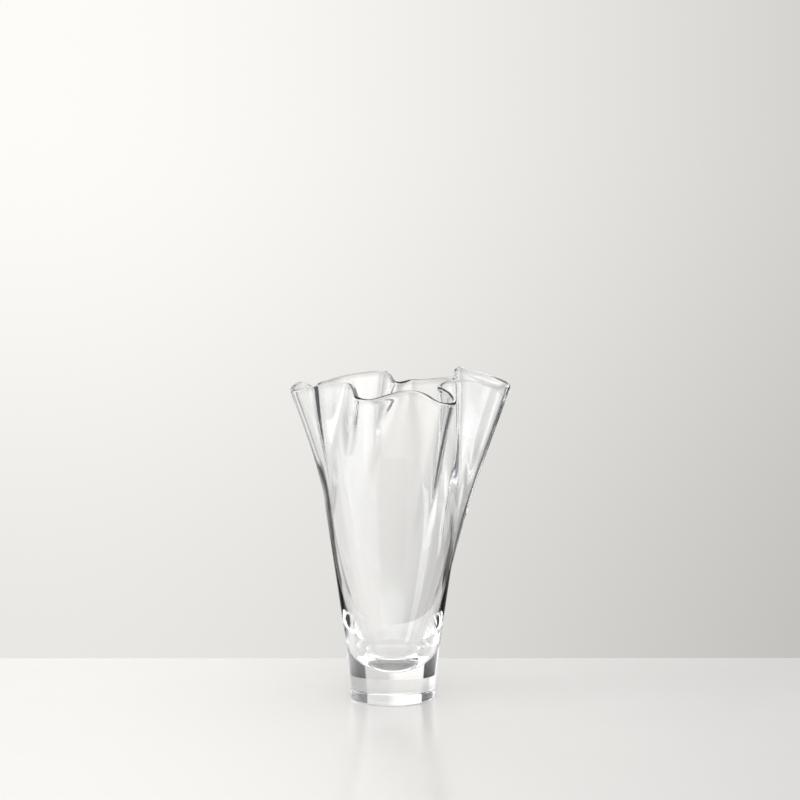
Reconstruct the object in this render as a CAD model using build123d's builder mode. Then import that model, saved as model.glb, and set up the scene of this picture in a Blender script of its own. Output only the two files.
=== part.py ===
"""Fan vase of clear glass: a bowl drawn out into a folded lip, fused to a solid base.

Millimetres. The base stands on Z = 0 around the Z axis, and the vase is seen from the -Y side.
"""

import os
from math import cos, dist, radians, sin

from build123d import *
from scipy.interpolate import CubicSpline

# Base
FOOT_RADIUS = 33.1
FOOT_ROUNDING = 1.2
BASE_HEIGHT = 17.0

# Outside of the bowl before its lip is folded: radii at the joint and at three steps above it
JOINT_RADIUS = 34.1
LOWER_RADIUS = 40.8
LOWER_RISE = 53.0
MIDDLE_RADIUS = 54.0
MIDDLE_RISE = 90.0
MOUTH_RADIUS = 64.0
MOUTH_RISE = 87.0

# Glass thickness, how quickly it thins above the well and swells at the lip, and the rounded floor inside
FLOOR_GLASS = 6.0
WELL_DEPTH = 14.0
WELL_LEAN = 22.0
WELL_WALL = 14.0
UPPER_WALL = 3.0
LIP_BEAD = 3.6
WALL_TAPER = 6
BEAD_TAPER = 16

# Folds: how far down from the lip the longest could reach, how they fade, and the highest lift of the lip
FOLD_REACH = 171.0
FOLD_FADE = 1.5
LIP_LIFT = 7.0

# Points along the lip, from the left lobe round by the front. Each has the direction of the wall below it and
# its own direction, in degrees from +X, then its shares of the mouth's radius, of the lip's highest lift and of
# the folds' reach.
LIP = [
    # Left lobe, narrow
    (-176, -176, 1.23, -0.56, 0.5),
    (-168, -169, 1.13, -0.23, 0.5),
    (-160, -164, 0.99, 0.23, 0.52),
    # First front fold
    (-151, -154, 0.81, 0.73, 0.55),
    (-143, -143, 0.71, 0.89, 0.48),
    (-134, -129, 0.79, 0.73, 0.48),
    # Left front lobe
    (-126, -119, 0.98, 0.56, 0.5),
    (-118, -112, 1.14, 0.33, 0.55),
    (-110, -104, 1.19, 0.23, 0.55),
    # Shallow wave in the middle of the front
    (-101, -95, 1.12, 0.56, 0.55),
    (-88, -80, 1.03, 1.0, 0.55),
    (-77, -71, 1.19, 0.73, 0.6),
    # Right front lobe
    (-71, -66, 1.34, 0.06, 0.65),
    (-65, -60, 1.37, -0.13, 0.65),
    (-59, -53.5, 1.27, -0.09, 0.65),
    # Second front fold, the deepest
    (-52, -47, 1.05, 0.29, 0.6),
    (-46, -42, 0.84, 0.53, 0.6),
    (-39, -35, 0.72, 0.61, 0.6),
    (-30, -20, 0.71, 0.7, 0.62),
    # Right lobe, wide
    (-18, -7, 0.93, 0.56, 0.72),
    (-10, -4, 1.20, 0.11, 0.8),
    (-2, -1, 1.41, -0.16, 0.87),
    (7, 11, 1.38, -0.07, 0.9),
    (18, 31, 1.35, -0.14, 0.9),
    (24, 45, 1.38, -0.11, 0.87),
    (29, 55, 1.39, -0.11, 0.85),
    # Fold at the back, flat along its bottom
    (32, 54, 1.26, -0.29, 0.8),
    (36, 46, 1.05, -0.43, 0.7),
    (42, 45, 0.88, -0.29, 0.65),
    (57, 60, 0.73, -0.54, 0.55),
    (79, 75, 0.69, -0.61, 0.45),
    (96, 86, 0.57, -0.57, 0.42),
    (101, 90, 0.76, -0.51, 0.42),
    # Back lobe
    (108, 95, 1.05, -0.4, 0.5),
    (118, 109, 1.14, -0.6, 0.6),
    (129, 122, 1.14, -0.71, 0.65),
    (142, 138, 1.09, -0.89, 0.7),
    (154, 154, 1.05, -0.86, 0.7),
    # Small tuck beside the left lobe
    (163, 165, 1.01, -0.69, 0.55),
    (168, 165, 1.11, -0.34, 0.52),
    (175, 174, 1.22, -0.36, 0.5),
]

# Rings that carry the bowl's surface, and the points in each
AROUND = 120
WALL_RINGS = 24
WALL_SPREAD = 1.6
BEAD_RINGS = 5
FLOOR_RINGS = 6

# Heights that follow
lower_height = BASE_HEIGHT + LOWER_RISE
middle_height = lower_height + MIDDLE_RISE
mouth_height = middle_height + MOUTH_RISE
floor_height = BASE_HEIGHT + FLOOR_GLASS
well_height = floor_height + WELL_DEPTH
body_stations = [
    (BASE_HEIGHT, JOINT_RADIUS),
    (lower_height, LOWER_RADIUS),
    (middle_height, MIDDLE_RADIUS),
    (mouth_height, MOUTH_RADIUS),
]


def toward(angle, reach, height):
    """Point at a reach from the axis, in a direction in degrees from +X."""
    return reach * cos(radians(angle)), reach * sin(radians(angle)), height


def body_radius(height):
    """Radius of the outside before folding: the cubic through the body's four stations."""
    radius = 0.0
    for at, station_radius in body_stations:
        weight = 1.0
        for other, _ in body_stations:
            if other != at:
                weight *= (height - other) / (at - other)
        radius += weight * station_radius
    return radius


def wall_at(height):
    """Glass thickness: thick at the well, thinner above, with a bead at the lip."""
    share = (height - well_height) / (mouth_height - well_height)
    well = (WELL_WALL - UPPER_WALL) * (1 - share) ** WALL_TAPER
    bead = (LIP_BEAD - UPPER_WALL) * share**BEAD_TAPER
    return UPPER_WALL + well + bead


# Lip as a smooth curve, how far its points have moved from the plain round mouth, and how far down that reaches
lip_points = [
    toward(angle, share * MOUTH_RADIUS, mouth_height + lift * LIP_LIFT) for _, angle, share, lift, _ in LIP
]
mouth_points = [toward(below, MOUTH_RADIUS, mouth_height) for below, *_ in LIP]
gaps = [
    dist(lip_points[i], lip_points[i - 1]) + dist(mouth_points[i], mouth_points[i - 1]) for i in range(len(LIP))
]
lip_knots = [sum(gaps[1 : i + 1]) / sum(gaps) for i in range(len(LIP))] + [1.0]
even_knots = [step / AROUND for step in range(AROUND + 1)]


def spread_along_lip(points):
    """Smooth closed curve through one point for each of the lip's, read at even steps along the lip."""
    curve = CubicSpline(lip_knots, points + points[:1], bc_type="periodic")
    return [Vector(*curve(place)) for place in even_knots[:-1]]


walls = spread_along_lip([toward(below, 1, reach) for below, *_, reach in LIP])
directions = [Vector(wall.X, wall.Y).normalized() for wall in walls]
fold_reaches = [wall.Z * FOLD_REACH for wall in walls]
plain_mouth = [way * MOUTH_RADIUS + Vector(0, 0, mouth_height) for way in directions]
moves = [folded - plain for folded, plain in zip(spread_along_lip(lip_points), plain_mouth)]


def ring_through(points):
    """Smooth closed ring."""
    return Wire([Edge.make_spline(points, periodic=True, parameters=even_knots)])


def outside(height):
    """Points of the outside that stand at this height before folding."""
    radius = body_radius(height)
    points = []
    for way, move, reach in zip(directions, moves, fold_reaches):
        fold = max(0.0, 1 - (mouth_height - height) / reach) ** FOLD_FADE
        points.append(way * radius + Vector(0, 0, height) + move * fold)
    return points


def wall_ring(height, turn):
    """Ring on the glass at a height: turn 0 is outside, 180 inside, and 90 the crest of the lip."""
    half = wall_at(height) / 2
    here = outside(height)
    lower = outside(height - half / 4)
    points = []
    for i, point in enumerate(here):
        along = here[(i + 1) % AROUND] - here[i - 1]
        out = along.cross(point - lower[i]).normalized()
        up = out.cross(along).normalized()
        points.append(point - out * half + (out * cos(radians(turn)) + up * sin(radians(turn))) * half)
    return ring_through(points)


def round_ring(radius, height):
    """Plain round ring."""
    return ring_through([way * radius + Vector(0, 0, height) for way in directions])


def heights_up(bottom):
    """Heights from a level to the lip, closer together near the lip."""
    span = mouth_height - bottom
    return [mouth_height - span * (1 - step / WALL_RINGS) ** WALL_SPREAD for step in range(WALL_RINGS + 1)]


def floor_ring(turn):
    """Round ring of the floor, from the wall's lean at the well's edge to 90 degrees at its centre."""
    radius = (body_radius(well_height) - WELL_WALL) * cos(radians(turn)) / cos(radians(WELL_LEAN))
    rise = WELL_DEPTH * (1 - sin(radians(turn))) / (1 - sin(radians(WELL_LEAN)))
    return round_ring(radius, floor_height + rise)


# Bowl: rings up the outside, over the lip, down the inside and across the rounded floor to its centre
rings = [round_ring(JOINT_RADIUS, BASE_HEIGHT)]
rings += [wall_ring(height, 0) for height in heights_up(BASE_HEIGHT)[1:]]
rings += [wall_ring(mouth_height, 180 * step / (BEAD_RINGS + 1)) for step in range(1, BEAD_RINGS + 1)]
rings += [wall_ring(height, 180) for height in reversed(heights_up(well_height))]
rings += [floor_ring(WELL_LEAN + (90 - WELL_LEAN) * step / FLOOR_RINGS) for step in range(1, FLOOR_RINGS)]

with BuildPart() as bowl:
    add(Solid.make_loft(rings + [Vertex(0, 0, floor_height)]))

# Base: solid puck that widens upwards, rounded where it meets the table and fused to the bowl on its flat top
with BuildPart() as base:
    with BuildSketch(Plane.XZ):
        with BuildLine():
            TangentArc((FOOT_RADIUS, 0), (JOINT_RADIUS, BASE_HEIGHT), tangent=(0, 1))
            Polyline((JOINT_RADIUS, BASE_HEIGHT), (0, BASE_HEIGHT), (0, 0), (FOOT_RADIUS, 0))
        side = make_face()
        fillet(side.vertices().group_by(Axis.Y)[0].sort_by(Axis.X)[-1], FOOT_ROUNDING)
    revolve(axis=Axis.Z)

bowl.part.label = "bowl"
base.part.label = "base"

os.makedirs("parts", exist_ok=True)
export_step(bowl.part, "parts/bowl.step")
export_step(base.part, "parts/base.step")
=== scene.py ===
"""Fan vase of clear glass with a folded lip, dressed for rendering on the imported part's frame."""

from math import cos, pi, radians, sin

import bpy
import numpy as np
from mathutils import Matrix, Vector


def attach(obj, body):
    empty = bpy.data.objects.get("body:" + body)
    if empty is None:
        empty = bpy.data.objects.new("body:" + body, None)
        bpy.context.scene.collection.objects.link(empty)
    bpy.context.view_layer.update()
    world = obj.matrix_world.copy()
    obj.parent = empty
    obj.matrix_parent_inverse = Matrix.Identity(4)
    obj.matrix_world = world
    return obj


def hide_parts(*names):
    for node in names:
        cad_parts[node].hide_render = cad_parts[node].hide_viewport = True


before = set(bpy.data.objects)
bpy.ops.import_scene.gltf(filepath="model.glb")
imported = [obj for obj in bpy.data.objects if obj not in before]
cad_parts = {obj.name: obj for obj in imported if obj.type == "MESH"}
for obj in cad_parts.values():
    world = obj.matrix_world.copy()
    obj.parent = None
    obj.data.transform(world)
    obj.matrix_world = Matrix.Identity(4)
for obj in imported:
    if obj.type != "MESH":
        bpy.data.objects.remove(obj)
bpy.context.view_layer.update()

# The vase's own sizes are in millimetres, the table's and the camera's in metres
MM = 0.001

# Base
FOOT_RADIUS = 33.1
FOOT_ROUNDING = 1.2
BASE_HEIGHT = 17.0

# Outside of the bowl before its lip is folded: radii at the joint and at three steps above it
JOINT_RADIUS = 34.1
LOWER_RADIUS = 40.8
LOWER_RISE = 53.0
MIDDLE_RADIUS = 54.0
MIDDLE_RISE = 90.0
MOUTH_RADIUS = 64.0
MOUTH_RISE = 87.0

# Glass thickness, how quickly it thins above the well and swells at the lip, and the rounded floor inside
FLOOR_GLASS = 6.0
WELL_DEPTH = 14.0
WELL_LEAN = 22.0
WELL_WALL = 14.0
UPPER_WALL = 3.0
LIP_BEAD = 3.6
WALL_TAPER = 6
BEAD_TAPER = 16

# Folds: how far down from the lip the longest could reach, how they fade, and the highest lift of the lip
FOLD_REACH = 171.0
FOLD_FADE = 1.5
LIP_LIFT = 7.0

# Points along the lip, from the left lobe round by the front. Each has the direction of the wall below it
# and its own direction, in degrees from +X, then its shares of the mouth's radius, of the lip's highest lift
# and of the folds' reach.
LIP = [
    # Left lobe, narrow
    (-176, -176, 1.23, -0.56, 0.5),
    (-168, -169, 1.13, -0.23, 0.5),
    (-160, -164, 0.99, 0.23, 0.52),
    # First front fold
    (-151, -154, 0.81, 0.73, 0.55),
    (-143, -143, 0.71, 0.89, 0.48),
    (-134, -129, 0.79, 0.73, 0.48),
    # Left front lobe
    (-126, -119, 0.98, 0.56, 0.5),
    (-118, -112, 1.14, 0.33, 0.55),
    (-110, -104, 1.19, 0.23, 0.55),
    # Shallow wave in the middle of the front
    (-101, -95, 1.12, 0.56, 0.55),
    (-88, -80, 1.03, 1.0, 0.55),
    (-77, -71, 1.19, 0.73, 0.6),
    # Right front lobe
    (-71, -66, 1.34, 0.06, 0.65),
    (-65, -60, 1.37, -0.13, 0.65),
    (-59, -53.5, 1.27, -0.09, 0.65),
    # Second front fold, the deepest
    (-52, -47, 1.05, 0.29, 0.6),
    (-46, -42, 0.84, 0.53, 0.6),
    (-39, -35, 0.72, 0.61, 0.6),
    (-30, -20, 0.71, 0.7, 0.62),
    # Right lobe, wide
    (-18, -7, 0.93, 0.56, 0.72),
    (-10, -4, 1.20, 0.11, 0.8),
    (-2, -1, 1.41, -0.16, 0.87),
    (7, 11, 1.38, -0.07, 0.9),
    (18, 31, 1.35, -0.14, 0.9),
    (24, 45, 1.38, -0.11, 0.87),
    (29, 55, 1.39, -0.11, 0.85),
    # Fold at the back, flat along its bottom
    (32, 54, 1.26, -0.29, 0.8),
    (36, 46, 1.05, -0.43, 0.7),
    (42, 45, 0.88, -0.29, 0.65),
    (57, 60, 0.73, -0.54, 0.55),
    (79, 75, 0.69, -0.61, 0.45),
    (96, 86, 0.57, -0.57, 0.42),
    (101, 90, 0.76, -0.51, 0.42),
    # Back lobe
    (108, 95, 1.05, -0.4, 0.5),
    (118, 109, 1.14, -0.6, 0.6),
    (129, 122, 1.14, -0.71, 0.65),
    (142, 138, 1.09, -0.89, 0.7),
    (154, 154, 1.05, -0.86, 0.7),
    # Small tuck beside the left lobe
    (163, 165, 1.01, -0.69, 0.55),
    (168, 165, 1.11, -0.34, 0.52),
    (175, 174, 1.22, -0.36, 0.5),
]

# Meshes: points around, rings on each part, the floor's last ring, and the angle that stays an edge
AROUND = 600
WALL_RINGS = 64
BEAD_RINGS = 12
FLOOR_RINGS = 20
FLOOR_END = 89.5
FOOT_RINGS = 8
SIDE_RINGS = 16
SHARP_ANGLE = 50

# Places of the two materials on each piece
GLASS_SLOT = 0
JOINT_SLOT = 1

# Glass: tints, how it bends light, the faint ripple of its surface and the faint cloud in its polish
BOWL_TINT = (0.995, 0.997, 1.0, 1)
BASE_TINT = (0.99, 0.995, 1.0, 1)
GLASS_IOR = 1.5
RIPPLE_SCALE = 22.0
RIPPLE_DETAIL = 1.0
RIPPLE_STRENGTH = 0.12
RIPPLE_DEPTH = 0.002
CLOUD_SCALE = 60.0
CLOUD_DETAIL = 3.0
CLOUD_RANGE = (0.45, 0.8)
CLOUD_ROUGHNESS = 0.03

# Table: how far it goes behind, in front and to each side, its thickness and its gap to the base
TABLE_BEHIND = 0.122
TABLE_FRONT = 0.7
TABLE_SIDE = 1.5
TABLE_THICKNESS = 0.006
TABLE_DROP = 0.0004

# Table's pale paint with painted shade, darker from left to right between two places where less light falls
# on it, and its mottled polish
TABLE_LIT_COLOUR = (0.75, 0.727, 0.69, 1)
TABLE_SHADED_COLOUR = (0.52, 0.498, 0.482, 1)
TABLE_PAINTED_SHADE = (-0.25, 0.5)
TABLE_IOR = 1.45
MOTTLE_SCALE = 9.0
MOTTLE_DETAIL = 4.0
MOTTLE_RANGE = (0.3, 0.7)
MOTTLE_ROUGHNESS = (0.16, 0.26)

# Studio around the vase, by direction: azimuth from the far side of the vase, positive to the right, and
# elevation, in degrees. An area is (azimuth from, to, elevation from, to, softness), and a slope is (angle
# from, to, brightness at the first, at the second).
BACKDROP = (-40, 40, -90, 14, 6)
BACKDROP_COLOUR = (1.0, 0.985, 0.95, 1)
BACKDROP_ACROSS = (-4, 9, 0.985, 0.55)
BACKDROP_DARKEST = 0.66
BACKDROP_UP = (-14.5, -8, 0.825, 1.0)
ROOM_COLOUR = (0.97, 0.985, 1.0, 1)
ROOM_UP = (0, 25, 0.9, 1.2)

# Screens, each with the share of light that it lets through
SCREENS = [
    # Beside the vase, seen in the base's upper and lower dark panels
    ((29, 72, -9, 22, 3), 0.18),
    ((-62, -34, -9, 0, 3), 0.03),
    ((-62, -34, 12, 22, 3), 0.03),
    # Below and above, seen along the outline
    ((34, 76, -30, -15, 3), 0.12),
    ((-62, -28, -19, -13.5, 1.5), 0.12),
    ((17, 33, -24, -16, 3), 0.3),
    ((-31, -17, -24, -16, 3), 0.3),
    ((-84, -40, 22, 42, 5), 0.03),
]

# Lights, each with its brightness over the room's
LIGHTS = [
    # Left of the vase
    ((-114, -98, -10, 26, 5), 3.2),
    ((-80, -48, 3, 9, 3), 1.6),
    # Right of the vase
    ((96, 145, -10, 26, 8), 0.7),
    # Above the camera, to its right and left
    ((142, 190, 14, 34, 4), 1.6),
    ((-190, -142, 14, 34, 4), 1.6),
]

# Dimmer room behind the camera, as an area on both sides of it
CAMERA_SIDE = (158, 190, -40, 6, 8)
CAMERA_SIDE_SHADE = 0.6

# Camera: where it stands, what it aims at, and its lens
CAMERA_PLACE = (0.0, -3.900, 1.008)
CAMERA_AIM = (0.0055, 0.0, 0.236)
CAMERA_LENS = 231.0
CAMERA_SENSOR = 36.0

# Most bounces of light: along the inside of the glass, in reflections, and through the joint
GLASS_BOUNCES = 128
GLOSSY_BOUNCES = 12
JOINT_BOUNCES = 32

# Heights that follow
lower_height = BASE_HEIGHT + LOWER_RISE
middle_height = lower_height + MIDDLE_RISE
mouth_height = middle_height + MOUTH_RISE
floor_height = BASE_HEIGHT + FLOOR_GLASS
well_height = floor_height + WELL_DEPTH
body_stations = [
    (BASE_HEIGHT, JOINT_RADIUS),
    (lower_height, LOWER_RADIUS),
    (middle_height, MIDDLE_RADIUS),
    (mouth_height, MOUTH_RADIUS),
]


def body_radius(height):
    """Radius of the outside before folding: the cubic through the body's four stations."""
    total = 0
    for here, radius in body_stations:
        share = radius
        for other, _ in body_stations:
            if other != here:
                share *= (height - other) / (here - other)
        total += share
    return total


def wall_at(height):
    """Glass thickness: thick at the well, thinner above, with a bead at the lip."""
    share = (height - well_height) / (mouth_height - well_height)
    well = (WELL_WALL - UPPER_WALL) * (1 - share) ** WALL_TAPER
    bead = (LIP_BEAD - UPPER_WALL) * share ** BEAD_TAPER
    return UPPER_WALL + well + bead


def closed_curve(knots, points, places):
    """Points at the given places on the smooth closed curve, a periodic cubic spline, through points."""
    points = np.array(points, float)
    count = len(points)
    gaps = np.diff(knots)
    matrix = np.zeros((count, count))
    bends = np.zeros(points.shape)
    for i in range(count):
        before, after = gaps[i - 1], gaps[i]
        following = (i + 1) % count
        matrix[i, i - 1] += before
        matrix[i, i] += 2 * (before + after)
        matrix[i, following] += after
        bends[i] = 6 * ((points[following] - points[i]) / after - (points[i] - points[i - 1]) / before)
    bends = np.linalg.solve(matrix, bends)
    span = np.clip(np.searchsorted(knots, places, side="right") - 1, 0, count - 1)
    end = (span + 1) % count
    gap = gaps[span][:, None]
    to_end = knots[span + 1][:, None] - places[:, None]
    from_start = places[:, None] - knots[span][:, None]
    cubic = (bends[span] * to_end ** 3 + bends[end] * from_start ** 3) / (6 * gap)
    start_share = (points[span] / gap - bends[span] * gap / 6) * to_end
    end_share = (points[end] / gap - bends[end] * gap / 6) * from_start
    return cubic + start_share + end_share


def unit(vectors):
    """The same vectors at length 1."""
    return vectors / np.linalg.norm(vectors, axis=1, keepdims=True)


def lip_and_walls():
    """All round: the wall's direction, the lip's move from a round mouth, and how far down it reaches."""
    lip = [
        (
            share * MOUTH_RADIUS * cos(radians(own)),
            share * MOUTH_RADIUS * sin(radians(own)),
            mouth_height + lift * LIP_LIFT,
        )
        for _, own, share, lift, _ in LIP
    ]
    below = [(cos(radians(angle)), sin(radians(angle)), reach) for angle, _, _, _, reach in LIP]
    mouth = [(MOUTH_RADIUS * way_x, MOUTH_RADIUS * way_y, mouth_height) for way_x, way_y, _ in below]
    steps = sum(np.linalg.norm(np.roll(line, -1, axis=0) - np.array(line), axis=1) for line in (lip, mouth))
    knots = np.concatenate([[0], np.cumsum(steps)]) / steps.sum()
    places = np.arange(AROUND) / AROUND
    walls = closed_curve(knots, below, places)
    wall_ways = unit(walls * np.array([1, 1, 0]))
    plain = wall_ways * MOUTH_RADIUS + np.array([0, 0, mouth_height])
    return wall_ways, closed_curve(knots, lip, places) - plain, walls[:, 2:] * FOLD_REACH


ways, moves, reaches = lip_and_walls()


def outside(height):
    """Ring of points on the outside that stand at this height before folding."""
    fold = np.maximum(0, 1 - (mouth_height - height) / reaches) ** FOLD_FADE
    return ways * body_radius(height) + np.array([0, 0, height]) + moves * fold


def wall_ring(height, turn):
    """Ring of points around the wall's section: turn 0 is outside, a quarter the crest, a half inside."""
    half = wall_at(height) / 2
    here = outside(height)
    lower = outside(height - half / 4)
    along = np.roll(here, -1, axis=0) - np.roll(here, 1, axis=0)
    out = unit(np.cross(along, here - lower))
    up = unit(np.cross(out, along))
    return here - out * half + (out * cos(turn) + up * sin(turn)) * half


def floor_ring(turn):
    """Ring of points on the rounded floor inside."""
    lean = radians(WELL_LEAN)
    radius = (body_radius(well_height) - WELL_WALL) * cos(turn) / cos(lean)
    rise_above = WELL_DEPTH * (1 - sin(turn)) / (1 - sin(lean))
    return ways * radius + np.array([0, 0, floor_height + rise_above])


def spread(low, high, count):
    """Even steps from low to high."""
    return [low + (high - low) * i / (count - 1) for i in range(count)]


def skin(name, rings, low_slot, high_slot):
    """Closed smooth mesh through rings, with flat ends in the given materials."""
    count = len(rings[0])
    points = np.concatenate(rings)
    faces = []
    for row in range(len(rings) - 1):
        low, high = row * count, (row + 1) * count
        for i in range(count):
            following = (i + 1) % count
            faces.append((low + i, low + following, high + following, high + i))
    ends = [tuple(reversed(range(count))), tuple(range(len(points) - count, len(points)))]
    mesh = bpy.data.meshes.new(name)
    mesh.from_pydata((points * MM).tolist(), [], faces + ends)
    mesh.shade_smooth()
    mesh.set_sharp_from_angle(angle=radians(SHARP_ANGLE))
    for face, slot in ((mesh.polygons[-2], low_slot), (mesh.polygons[-1], high_slot)):
        face.use_smooth = False
        face.material_index = slot
    piece = bpy.data.objects.new(name, mesh)
    bpy.context.scene.collection.objects.link(piece)
    return piece


def bowl():
    """Rings up the outside, over the lip, down the inside and across the floor."""
    rings = [outside(height) for height in spread(BASE_HEIGHT, mouth_height, WALL_RINGS)[:-1]]
    rings += [wall_ring(mouth_height, turn) for turn in spread(0, pi, BEAD_RINGS)]
    rings += [wall_ring(height, pi) for height in spread(mouth_height, well_height, WALL_RINGS)[1:-1]]
    rings += [floor_ring(turn) for turn in spread(radians(WELL_LEAN), radians(FLOOR_END), FLOOR_RINGS)]
    return skin("bowl_glass", rings, JOINT_SLOT, GLASS_SLOT)


def base():
    """Rings up the foot's rounding and the side, which bends outwards from upright."""
    angles = np.arange(AROUND) * 2 * pi / AROUND
    round_ways = np.stack([np.cos(angles), np.sin(angles), np.zeros(AROUND)], axis=1)
    widening = JOINT_RADIUS - FOOT_RADIUS
    bend = (BASE_HEIGHT ** 2 + widening ** 2) / (2 * widening)
    profile = []
    for turn in spread(-pi / 2, 0, FOOT_RINGS):
        profile.append((FOOT_RADIUS - FOOT_ROUNDING * (1 - cos(turn)), FOOT_ROUNDING * (1 + sin(turn))))
    for height in spread(FOOT_ROUNDING, BASE_HEIGHT, SIDE_RINGS)[1:]:
        profile.append((FOOT_RADIUS + bend - (bend ** 2 - height ** 2) ** 0.5, height))
    rings = [round_ways * radius + np.array([0, 0, height]) for radius, height in profile]
    return skin("base_glass", rings, GLASS_SLOT, JOINT_SLOT)


def node_of(tree, kind, **values):
    """New node with its named inputs set to values or linked to other nodes' outputs."""
    node = tree.nodes.new(kind)
    for name, value in values.items():
        socket = node.inputs[name.replace("_", " ")]
        if isinstance(value, bpy.types.NodeSocket):
            tree.links.new(value, socket)
        else:
            socket.default_value = value
    return node


def calc(tree, operation, first, second=None):
    """Result of a sum on one or two values."""
    node = tree.nodes.new("ShaderNodeMath")
    node.operation = operation
    for socket, value in zip(node.inputs, (first, second)):
        if isinstance(value, bpy.types.NodeSocket):
            tree.links.new(value, socket)
        elif value is not None:
            socket.default_value = value
    return node.outputs[0]


def rise(tree, value, low, high, start=0.0, end=1.0):
    """Smooth step from start to end as value goes from low to high."""
    node = node_of(
        tree, "ShaderNodeMapRange", Value=value, From_Min=low, From_Max=high, To_Min=start, To_Max=end
    )
    node.interpolation_type = "SMOOTHSTEP"
    return node.outputs["Result"]


def band(tree, value, low, high, soft):
    """1 where value is between low and high, fading to 0 outside them."""
    above = rise(tree, value, low - soft, low)
    below = rise(tree, value, high, high + soft, 1, 0)
    return calc(tree, "MULTIPLY", above, below)


def patch(tree, azimuth, elevation, area):
    """1 inside an area of the studio, fading to 0 around it."""
    left, right, low, high, soft = area
    across = band(tree, azimuth, left, right, soft)
    return calc(tree, "MULTIPLY", across, band(tree, elevation, low, high, soft))


def lowered(tree, mask, share):
    """1 where a mask is 0, falling to a share where it is 1."""
    return rise(tree, mask, 0, 1, 1, share)


def new_material(name):
    """Empty node material, and its tree."""
    material = bpy.data.materials.new(name)
    material.use_nodes = True
    material.node_tree.nodes.clear()
    return material, material.node_tree


def clear_glass(name, tint):
    """Hand-worked clear glass: faint ripples in the surface and faint cloudiness in its polish."""
    material, tree = new_material(name)
    place = tree.nodes.new("ShaderNodeTexCoord").outputs["Object"]
    ripple = node_of(tree, "ShaderNodeTexNoise", Vector=place, Scale=RIPPLE_SCALE, Detail=RIPPLE_DETAIL)
    bump = node_of(
        tree, "ShaderNodeBump", Height=ripple.outputs["Fac"], Strength=RIPPLE_STRENGTH, Distance=RIPPLE_DEPTH
    )
    cloud = node_of(tree, "ShaderNodeTexNoise", Vector=place, Scale=CLOUD_SCALE, Detail=CLOUD_DETAIL)
    polish = node_of(
        tree, "ShaderNodeMapRange", Value=cloud.outputs["Fac"],
        From_Min=CLOUD_RANGE[0], From_Max=CLOUD_RANGE[1], To_Min=0.0, To_Max=CLOUD_ROUGHNESS,
    )
    glass = node_of(
        tree, "ShaderNodeBsdfPrincipled", Base_Color=tint, IOR=GLASS_IOR, Transmission_Weight=1.0,
        Roughness=polish.outputs["Result"], Normal=bump.outputs["Normal"],
    )
    node_of(tree, "ShaderNodeOutputMaterial", Surface=glass.outputs["BSDF"])
    return material


def fused_joint():
    """Joint inside the glass, which light crosses without bending."""
    material, tree = new_material("fused_joint")
    clear = node_of(tree, "ShaderNodeBsdfTransparent")
    node_of(tree, "ShaderNodeOutputMaterial", Surface=clear.outputs["BSDF"])
    return material


def table_white():
    """Pale paint with painted shade, a little darker to the right where less light falls, with a mottled
    polish.
    """
    material, tree = new_material("table_white")
    place = tree.nodes.new("ShaderNodeTexCoord").outputs["Object"]
    mottle = node_of(tree, "ShaderNodeTexNoise", Vector=place, Scale=MOTTLE_SCALE, Detail=MOTTLE_DETAIL)
    polish = node_of(
        tree, "ShaderNodeMapRange", Value=mottle.outputs["Fac"],
        From_Min=MOTTLE_RANGE[0], From_Max=MOTTLE_RANGE[1],
        To_Min=MOTTLE_ROUGHNESS[0], To_Max=MOTTLE_ROUGHNESS[1],
    )
    # Painted shade: the paint darkens to the right, standing in for light falling off away from the left
    side = node_of(tree, "ShaderNodeSeparateXYZ", Vector=place).outputs["X"]
    lit_and_shaded_paint = node_of(
        tree, "ShaderNodeMixRGB", Fac=rise(tree, side, *TABLE_PAINTED_SHADE),
        Color1=TABLE_LIT_COLOUR, Color2=TABLE_SHADED_COLOUR,
    )
    paint = node_of(
        tree, "ShaderNodeBsdfPrincipled", Base_Color=lit_and_shaded_paint.outputs["Color"],
        Roughness=polish.outputs["Result"], IOR=TABLE_IOR,
    )
    node_of(tree, "ShaderNodeOutputMaterial", Surface=paint.outputs["BSDF"])
    return material


def table():
    """Flat top under the vase, whose back edge is the photo's horizon."""
    low = (-TABLE_SIDE, -TABLE_FRONT, -TABLE_THICKNESS)
    high = (TABLE_SIDE, TABLE_BEHIND, -TABLE_DROP)
    corners = [(x, y, z) for z in (low[2], high[2]) for y in (low[1], high[1]) for x in (low[0], high[0])]
    faces = [(0, 2, 3, 1), (4, 5, 7, 6), (0, 1, 5, 4), (2, 6, 7, 3), (0, 4, 6, 2), (1, 3, 7, 5)]
    mesh = bpy.data.meshes.new("table")
    mesh.from_pydata(corners, [], faces)
    top = bpy.data.objects.new("table", mesh)
    bpy.context.scene.collection.objects.link(top)
    mesh.materials.append(table_white())


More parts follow.
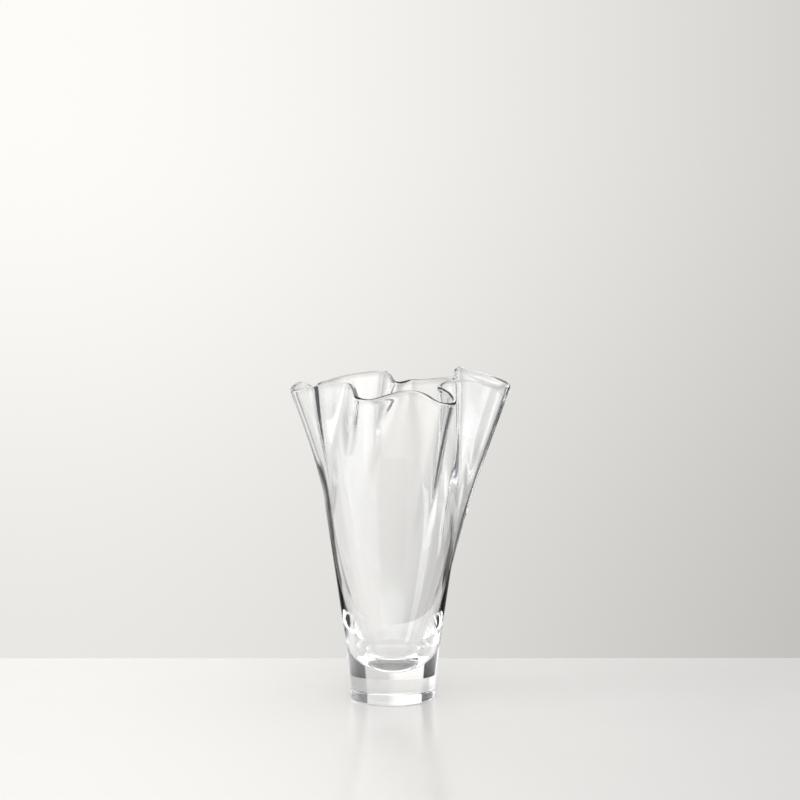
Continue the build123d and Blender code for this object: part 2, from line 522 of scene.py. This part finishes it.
def studio():
    """Backdrop, room, lights and screens around the vase, as the world's light."""
    world = bpy.data.worlds.new("studio")
    bpy.context.scene.world = world
    world.use_nodes = True
    tree = world.node_tree
    tree.nodes.clear()
    way = tree.nodes.new("ShaderNodeTexCoord").outputs["Generated"]
    parts = node_of(tree, "ShaderNodeSeparateXYZ", Vector=way).outputs
    azimuth = calc(tree, "DEGREES", calc(tree, "ARCTAN2", parts["X"], parts["Y"]))
    elevation = calc(tree, "DEGREES", calc(tree, "ARCSINE", parts["Z"]))

    # Backdrop, shaded towards the right and the bottom
    across = calc(tree, "MAXIMUM", rise(tree, azimuth, *BACKDROP_ACROSS), BACKDROP_DARKEST)
    up = rise(tree, elevation, *BACKDROP_UP)
    ahead = patch(tree, azimuth, elevation, BACKDROP)
    backdrop = calc(tree, "MULTIPLY", ahead, calc(tree, "MULTIPLY", across, up))

    # Room beside, behind and above, brighter higher up, with its lights
    room = rise(tree, elevation, *ROOM_UP)
    to_either_side = calc(tree, "ABSOLUTE", azimuth)
    camera_side = patch(tree, to_either_side, elevation, CAMERA_SIDE)
    room = calc(tree, "MULTIPLY", room, lowered(tree, camera_side, CAMERA_SIDE_SHADE))
    for area, brightness in LIGHTS:
        mask = patch(tree, azimuth, elevation, area)
        room = calc(tree, "ADD", room, calc(tree, "MULTIPLY", mask, brightness))
    room = calc(tree, "MULTIPLY", room, calc(tree, "SUBTRACT", 1.0, ahead))

    # Screens in front of both
    shade = 1.0
    for area, passes in SCREENS:
        mask = patch(tree, azimuth, elevation, area)
        shade = calc(tree, "MULTIPLY", shade, lowered(tree, mask, passes))
    backdrop = calc(tree, "MULTIPLY", backdrop, shade)
    room = calc(tree, "MULTIPLY", room, shade)

    warm = node_of(tree, "ShaderNodeBackground", Color=BACKDROP_COLOUR, Strength=backdrop)
    cool = node_of(tree, "ShaderNodeBackground", Color=ROOM_COLOUR, Strength=room)
    both = tree.nodes.new("ShaderNodeAddShader")
    tree.links.new(warm.outputs["Background"], both.inputs[0])
    tree.links.new(cool.outputs["Background"], both.inputs[1])
    node_of(tree, "ShaderNodeOutputWorld", Surface=both.outputs["Shader"])


def camera():
    """Camera at the photo's angle."""
    view = bpy.data.cameras.new("camera")
    view.lens = CAMERA_LENS
    view.sensor_width = CAMERA_SENSOR
    stand = bpy.data.objects.new("camera", view)
    stand.location = CAMERA_PLACE
    aim = Vector(CAMERA_AIM) - Vector(CAMERA_PLACE)
    stand.rotation_euler = aim.to_track_quat("-Z", "Y").to_euler()
    bpy.context.scene.collection.objects.link(stand)
    bpy.context.scene.camera = stand


# The two pieces of glass, each in place of its CAD node
joint = fused_joint()
for make, node, tint in ((bowl, "bowl", BOWL_TINT), (base, "base", BASE_TINT)):
    piece = make()
    piece.data.materials.append(clear_glass(node + "_glass", tint))
    piece.data.materials.append(joint)
    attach(piece, "root")
    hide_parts(node)

table()
studio()
camera()

settings = bpy.context.scene
settings.view_settings.view_transform = "Standard"
settings.cycles.max_bounces = GLASS_BOUNCES
settings.cycles.transmission_bounces = GLASS_BOUNCES
settings.cycles.glossy_bounces = GLOSSY_BOUNCES
settings.cycles.transparent_max_bounces = JOINT_BOUNCES
